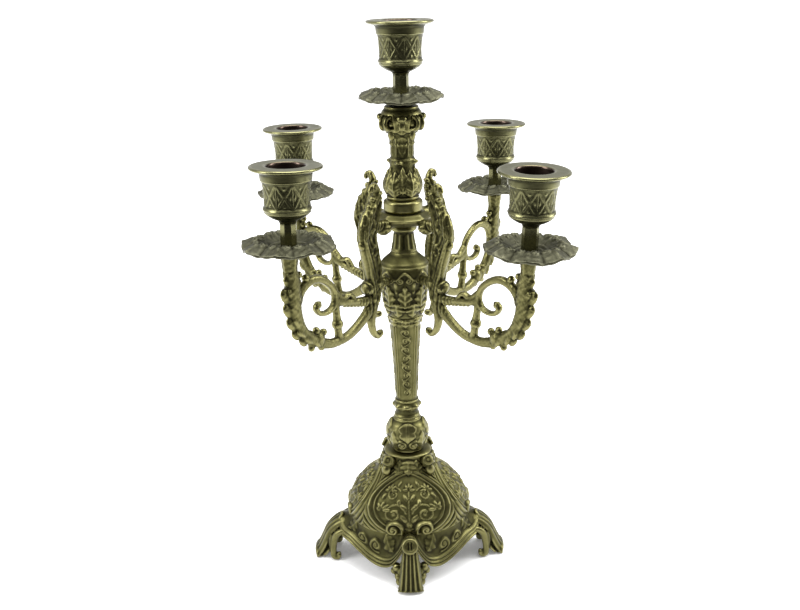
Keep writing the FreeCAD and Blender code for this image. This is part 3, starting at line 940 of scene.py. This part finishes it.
def medallion_tree(side, across, up):
    """The flowering bough in a medallion: a stem with leaves, and two pairs of scrolls."""
    stem = ridge(across, 1) * step(up, -17, -15) * step(9.0 - up, 0, 2)
    tree = 0.8 * stem
    for x, y, radius, hand, start in ((9.6, -8, 7.6, -1, 3.2), (11.8, 4.6, 5.6, -1, 3.6)):
        tree = np.maximum(tree, 0.9 * spiral(side, up, (x, y), radius, 1.4, start, hand, 0.95))
    for x, y in ((0, 8), (15, 7), (17.4, -6)):
        for angle in (-1.5, -0.75, 0, 0.75, 1.5):
            tree = np.maximum(tree, 1.2 * petal(side - x, up - y, 5.8, 1.35, angle))
    for x, y, length, width, angle in (
        (0.6, -14, 8, 1.8, -0.7), (0.8, -6, 8, 1.8, -0.9), (0.8, 0, 7, 1.7, -0.6),
        (0, -18, 6.5, 2.2, 0), (10, 9.5, 6, 1.7, 0.5), (19, 0, 6, 1.8, 0.2),
        (12.5, -14.5, 6.5, 1.8, -1.4), (6.5, -3.5, 6, 1.6, -0.2), (21.5, -9, 5.5, 1.6, 0.4),
    ):
        tree = np.maximum(tree, 1.1 * petal(side - x, up - y, length, width, angle))
    return tree


body_outline = [
    (40.6, 34), (42, 38), (42.6, 43), (42, 48.5), (39.6, 54), (35.2, 59.5),
    (29.8, 64.4), (24.8, 68.6), (20.8, 72.4), (18.4, 76.4), (17, 80.6), (16.2, 84),
    (15.4, 85.6), (12, base_crown),
]
body_inner = [
    (38, 34), (38.8, 47), (33, 57), (24, 65.5), (15, 70.5), (bore, 72), (bore, base_crown),
]


def base_relief(theta, height, radius, along):
    """A medallion on each face of the body, ribs at its corners and acanthus under its crown."""
    from_front, from_side = around(theta, 2, 1, TAU / 4), around(theta, 2, 1)
    is_front = np.abs(from_front) < math.radians(51)
    size = np.where(is_front, 1, 0.72)
    spread, centre = 38, 27
    across = np.where(is_front, from_front, from_side) * spread / size
    side, up = np.abs(across), along - centre
    wide, tall = 29, 22.5
    rho = np.hypot(across / wide, up / tall)
    field = step(0.92 - rho, 0, 0.05)
    ground = field * (0.34 * stipple(across, up, 2.3) - 0.9)
    scroll_frame = 1.1 * ridge((rho - 0.96) * wide, 0.8) + 1.9 * ridge((rho - 1.09) * wide, 2)
    ribs = 1.2 * np.abs(np.cos(math.pi * (rho - 1.09) * wide / 4)) ** 0.8 * step(rho, 1.13, 1.17)
    volute = 2.5 * spiral(side, up, (11.6, -tall * 0.90), 7.2, 1.9, start=2.4, hand=-1, width=1.4)
    heart = 1.7 * leaf(across, up + tall + 2, 9, 4, 2) * step(rho, 0.78, 0.88)
    low_leaf = 1.4 * leaf(side - 23, up + tall + 5, 14, 5, 3, 0.7) * step(rho, 1.16, 1.2)
    tree = 1.7 * medallion_tree(side / 1.22, across / 1.22, up / 1.12)
    face = ground + tree * field + scroll_frame + ribs
    face = np.max([face, volute, heart - 0.2, low_leaf], axis=0)
    face = face * step(77.0 - height, 0, 4) * step(height, 35.5, 38)
    four, eight = around(theta, 4, radius), around(theta, 8, radius, TAU / 16)
    crown = 2.2 * leaf(four, 82.5 - height, 11, 6.4, 3)
    crown = np.maximum(crown, 1.5 * leaf(eight, height - 72.5, 11, 4.6, 3))
    crown = np.maximum(crown, 0.8 * ridge(height - 84.4, 0.7))
    return np.maximum(face, crown * step(height, 69, 73))


def base_body():
    """The bombe body as a shell: its inner wall follows the outer one."""
    outer_length = np.linalg.norm(np.diff(np.array(body_outline), axis=0), axis=1).sum()
    shape = body_outline + body_inner[::-1]

    def outside(theta, height, radius, along):
        return base_relief(theta, height, radius, along) * step(outer_length + 1.0 - along, 0, 1)

    mesh = lathe("base_body", shape, outside, 400, 495, soften=0.6, closed=True, plan=base_plan)
    add_wear(mesh, reach=1.8, depth=0.7)
    return mesh


swag = [
    (0, -43.6, 36), (4.5, -45, 33), (8.5, -44.4, 25.5), (13.5, -41.4, 18),
    (20, -37.4, 15), (27, -32.6, 16), (35, -26.4, 20), (42, -19.6, 23.6),
    (47.5, -13, 24.6), (50, -8, 26), (50.8, -4, 27.6), (51, 0, 28),
]


def flange():
    """A hollow-fronted sheet whose moulded edge hangs in a swag between the feet."""
    quarter = smooth_curve(swag, 13)
    front = np.vstack([quarter, quarter[-2::-1] * np.array([1, -1, 1])])
    whole = np.vstack([front, front[-2:0:-1] * np.array([-1, 1, 1])])
    columns = len(whole)
    tangent = np.roll(whole, -1, 0) - np.roll(whole, 1, 0)
    out = np.stack([tangent[:, 1], -tangent[:, 0], 0 * tangent[:, 0]], 1)
    out /= np.linalg.norm(out, axis=1)[:, None]
    out *= np.sign((out * whole).sum(1))[:, None]
    theta = np.arctan2(whole[:, 1], whole[:, 0])
    waist = 41.5 * base_plan(theta, 40.0 + 0 * theta)
    inner = np.stack([waist * np.cos(theta), waist * np.sin(theta), 0 * theta + 37], 1)
    top_edge = whole + np.array([0, 0, 3.8]) - out * 1.2
    low_edge = whole - np.array([0, 0, 3.8]) + out * 0.6
    sag = np.clip((inner - top_edge)[:, 2] / 8, 0.2, 1)
    from_corner = np.abs(around(theta, 4, 1, TAU / 8)) * 44.0
    rows = []
    for share in np.linspace(0, 1, 34):
        line = inner + (top_edge - inner) * share
        line[:, 2] -= 3.0 * math.sin(math.pi * share) * sag
        ornament = spiral(from_corner - 6.5, share * 18.0 - 9, (0, 0), 6.4, 1.7, 1, 1, 1.1)
        ornament = np.maximum(ornament, leaf(from_corner - 15, share * 18.0 - 1, 15, 4.6, 3, -0.5))
        raised = (1.7 * ornament * math.sin(math.pi * share) ** 0.5)[:, None]
        line += raised * (0.8 * out + np.array([0, 0, 0.5]))
        rows.append(line)
    for share in np.linspace(0, 1, 36)[1:]:
        bulge = 1.4 * abs(math.sin(math.pi * 3 * share)) ** 0.65
        rows.append(top_edge + (low_edge - top_edge) * share + out * bulge)
    for share in np.linspace(0, 1, 18)[1:]:
        line = low_edge + (inner - low_edge) * share
        rows.append(line - out * 1.6 * math.sin(math.pi * share) - np.array([0, 0, 2.6]) * share)
    points = np.vstack(rows)
    faces = outward(points, grid_faces(len(rows), columns, close_rows=True))
    mesh = make_mesh("base_flange", points, faces)
    add_wear(mesh, reach=1.8, depth=0.7)
    # The hollow upper face is made darker: painted shade.
    hollow = np.ones((len(rows), columns))
    hollow[2:30] = 0.72
    polish_and_painted_light(mesh, hollow.ravel())
    return mesh


def palmette(knee, knee_height, toe, slim, fluting):
    """A fluted foot along +X that widens from the knee to the toe."""
    flare = toe - knee
    falls = ((0.42, 0.70), (0.58, 0.46), (0.74, 0.24), (0.92, 0.07))
    spine = [(knee - 5, knee_height - 1), (knee - 1, knee_height),
             (knee + 0.22 * flare, knee_height - 3.5)]
    spine += [(knee + out * flare, knee_height * up) for out, up in falls] + [(toe - 0.4, 1.4)]
    line = smooth_curve(spine, 9)
    normal = directions(line)[1]
    share = np.linspace(0, 1, len(line))[:, None]
    toe_width = 9.8
    width = slim + (toe_width - slim) * share
    thick = 2.0 + 0.5 * np.sin(math.pi * share)
    a = np.linspace(0, TAU, 84, endpoint=False)[None, :]
    u = squared_off(np.cos(a), 0.7)
    rib = fluting * np.cos(math.pi * 5 * u) * step(share, 0.10, 0.25) * step(0.90 - share, 0, 0.05)
    lip = 2.2 * ridge((share - 0.94) * 40, 1.5)
    facing = step(np.sin(a), 0.1, 0.5)
    lift = np.sin(a) * thick + facing * (rib + 1.4 * (1 - u ** 2) + lip)
    x = line[:, :1] + normal[:, :1] * lift
    z = np.maximum(line[:, 1:] + normal[:, 1:] * lift, 0)
    return tube(x, u * width + 0 * x, z)


def foot_parts(knee, knee_height, toe, azimuth):
    """A foot with its eye scroll, side scrolls and sole, turned to its place."""
    flare = toe - knee
    is_side = azimuth % 180 == 0
    slim, fluting, web_depth = (8.5, 0.35, 10) if is_side else (3.4, 0.8, 2.6)
    parts = [palmette(knee, knee_height, toe, slim, fluting), blob((toe - 3.4, 0, 1.6), (3.4, 9.4, 1.6))]
    if is_side:
        eye = (knee + 1.2, 0, knee_height + 1.4)
        parts += [ring(eye, 3.7, 1.35, (1, 0, 0.75)), blob(eye, (2, 2, 2))]
    else:
        parts.append(ring((knee + 4.4, 0, knee_height - 1.4), 4.2, 1.5, (1, 0, 0.55)))
        parts.append(blob((knee + 3.2, 0, knee_height - 1.9), (1.5, 1.5, 1.5)))
    web = [(knee - 7, knee_height - 6, 1.8), (knee - 1, knee_height - 6, 2),
           (knee + 0.26 * flare, knee_height * 0.6, 2), (knee + 0.40 * flare, knee_height * 0.35, 2),
           (knee + 0.56 * flare, 5, 2), (knee + 0.70 * flare, 2.2, 1.8)]
    parts.append(strand(web, web_depth))
    out = 55.5
    curl = [(out - 11, 23, 1.8), (out - 6, 23.4, 2.2), (out - 2.2, 20.6, 2.5), (out - 0.2, 14.6, 2.5),
            (out + 0.6, 8, 2.4), (out, 3.2, 2.4), (out - 2.6, 2.6, 2.2), (out - 3.6, 5, 1.8)]
    leaflets = [(44.6, 6.4, 12.5, 3.6), (43, 9.6, 14.8, 3.4), (45, 8.4, 8.6, 3.2),
                (46.6, 8, 5, 2.8), (44.4, 4.6, 17.5, 3.2), (42.4, 11.6, 11.6, 2.6)]
    for side in (-1, 1):
        if is_side:
            parts.append(moved_across(strand(curl, 2.3), side * 11))
            parts.append(blob((out + 1.6, side * 9, 12), (2.4, 3.4, 8)))
        else:
            parts += [blob((x, side * y, z), (size, size * 0.9, size), tilt=0.5)
                      for x, y, z, size in leaflets]
    return [turned_about_z(part, azimuth) for part in parts]


def volutes():
    """Ring scrolls at the four corners of the crown."""
    parts = []
    for across, away in ((1, 1), (-1, 1), (1, -1), (-1, -1)):
        x, y = 13.4 * across, 12.6 * away
        parts.append(blob((x, y, 81), (4.4, 4.2, 4.6)))
        parts.append(blob((x * 1.14, y * 1.14, 75.4), (3.4, 3.2, 4.6)))
        for normal in ((0.2 * across, away, 0.55), (across, 0.2 * away, 0.55)):
            n = np.array(normal) / np.linalg.norm(normal)
            centre = np.array([x, y, 82]) + n * 4.0
            parts.append(ring(centre, 2.7, 1, normal))
            parts.append(blob(centre, (1.2, 1.2, 1.2)))
    return parts


cast_piece("base_body_piece", base_body(), "base_casting")
cast_piece("base_flange_piece", flange(), "base_casting")
side_foot, end_foot = (50, 28, 69), (43.6, 36, 53)
foot_list = []
for azimuth in (0, 90, 180, 270):
    foot_list += foot_parts(*(side_foot if azimuth % 180 == 0 else end_foot), azimuth)
feet_mesh = remeshed("base_feet", foot_list + volutes(), 0.5, smoothing=2)
add_wear(feet_mesh, reach=1.8, depth=0.5)
# The feet are made a little darker all over.
polish_and_painted_light(feet_mesh, 0.85)
cast_piece("base_feet_piece", feet_mesh, "base_casting")


# ---- carried-over fasteners ----

for node in ("base_washer", "tie_rod_nut", "tie_rod", "cup_studs", "arm_screws"):
    slots = frame["nodes"][node].data.materials
    slots.clear()
    slots.append(cast_brass if node == "arm_screws" else plain_steel)


# ---- floor, light and camera ----

def mixed(nodes, links, share, first, second):
    """A mix of two shaders by a share."""
    mix = nodes.new("ShaderNodeMixShader")
    for socket, source in zip(mix.inputs, (share, first.outputs[0], second.outputs[0])):
        links.new(source, socket)
    return mix


def floor():
    """A wide pale floor that glows by itself, less so near the object, which paints shade round its foot.
    In the brass's reflections it turns dark in front, like a table's end.
    """
    mesh = bpy.data.meshes.new("floor")
    half = 30.0
    corners = [(-half, -half, 0), (half, -half, 0), (half, half, 0), (-half, half, 0)]
    mesh.from_pydata(corners, [], [(0, 1, 2, 3)])
    piece = make_object("floor", mesh)
    material, nodes, links, shader = new_material("floor")
    settings(shader, Base_Color=(0.93, 0.93, 0.93, 1), Roughness=0.7, Specular_IOR_Level=0.2,
             Emission_Color=(1, 1, 1, 1))
    place = nodes.new("ShaderNodeTexCoord")
    away = nodes.new("ShaderNodeVectorMath")
    away.operation = "LENGTH"
    # The glow rises from 0.16 beside the object to 0.70 a metre away: painted shade near the object.
    glow = settings(nodes.new("ShaderNodeMapRange"), From_Min=0.08, From_Max=1, To_Min=0.16, To_Max=0.70)
    split = nodes.new("ShaderNodeSeparateXYZ")
    shade = settings(nodes.new("ShaderNodeMapRange"), From_Min=-0.60, From_Max=-0.22)
    wire(links, (place, "Object", away, 0), (away, "Value", glow, "Value"),
         (glow, "Result", shader, "Emission Strength"),
         (place, "Object", split, 0), (split, "Y", shade, "Value"))
    dark = settings(nodes.new("ShaderNodeBsdfDiffuse"), Color=(0.05, 0.05, 0.05, 1))
    lit = mixed(nodes, links, shade.outputs["Result"], dark, shader)
    sight = nodes.new("ShaderNodeLightPath")
    seen = mixed(nodes, links, sight.outputs["Is Camera Ray"], lit, shader)
    wire(links, (seen, 0, nodes["Material Output"], "Surface"))
    mesh.materials.append(material)


def area_light(name, place, target, size, power):
    light = bpy.data.lights.new(name, "AREA")
    light.shape = "RECTANGLE"
    light.size, light.size_y = size
    light.energy = power
    holder = make_object(name, light)
    holder.location = place
    holder.rotation_euler = (Vector(target) - Vector(place)).to_track_quat("-Z", "Y").to_euler()


def world():
    """A pale room. In the brass's reflections it is dark in front, and bright behind and above."""
    room = bpy.data.worlds.new("room")
    bpy.context.scene.world = room
    room.use_nodes = True
    nodes, links = room.node_tree.nodes, room.node_tree.links
    background = nodes["Background"]
    place = nodes.new("ShaderNodeTexCoord")
    split = nodes.new("ShaderNodeSeparateXYZ")
    wire(links, (place, "Generated", split, 0))
    levels = []
    for axis, low, high, dark, bright in (("Y", -0.85, 0.15, 0.10, 0.85), ("Z", 0.55, 0.95, 0, 0.5)):
        level = nodes.new("ShaderNodeMapRange")
        level.interpolation_type = "SMOOTHSTEP"
        settings(level, From_Min=low, From_Max=high, To_Min=dark, To_Max=bright)
        wire(links, (split, axis, level, "Value"))
        levels.append(level)
    total = nodes.new("ShaderNodeMath")
    total.operation = "ADD"
    wire(links, (levels[0], "Result", total, 0), (levels[1], "Result", total, 1),
         (total, 0, background, "Strength"))
    settings(background, Color=(1, 1, 1, 1))
    pale = settings(nodes.new("ShaderNodeBackground"), Color=(1, 1, 1, 1))
    sight = nodes.new("ShaderNodeLightPath")
    seen = mixed(nodes, links, sight.outputs["Is Camera Ray"], background, pale)
    wire(links, (seen, 0, nodes["World Output"], "Surface"))


def camera():
    """About 60 cm in front, a little above the top rim, looking down 20 degrees."""
    lens = bpy.data.cameras.new("camera")
    lens.sensor_width = 36.0
    lens.lens = 42.21
    pitch, roll = math.radians(19.7), math.radians(1.2)
    look = Matrix.Rotation(math.radians(90) - pitch, 4, "X") @ Matrix.Rotation(-roll, 4, "Z")
    place = Matrix.Translation((-0.0034, -0.600, 0.409)) @ look
    bpy.context.scene.camera = make_object("camera", lens, place)


floor()
world()
area_light("overhead", (0.1, 0, 1.4), (0, 0, 0.1), (1.1, 1.1), 22)
area_light("left", (-1.1, -0.4, 0.9), (0, 0, 0.2), (0.5, 0.9), 13)
area_light("right", (1.2, 0.1, 0.8), (0, 0, 0.2), (0.4, 0.9), 12)
camera()
bpy.context.scene.view_settings.view_transform = "Standard"
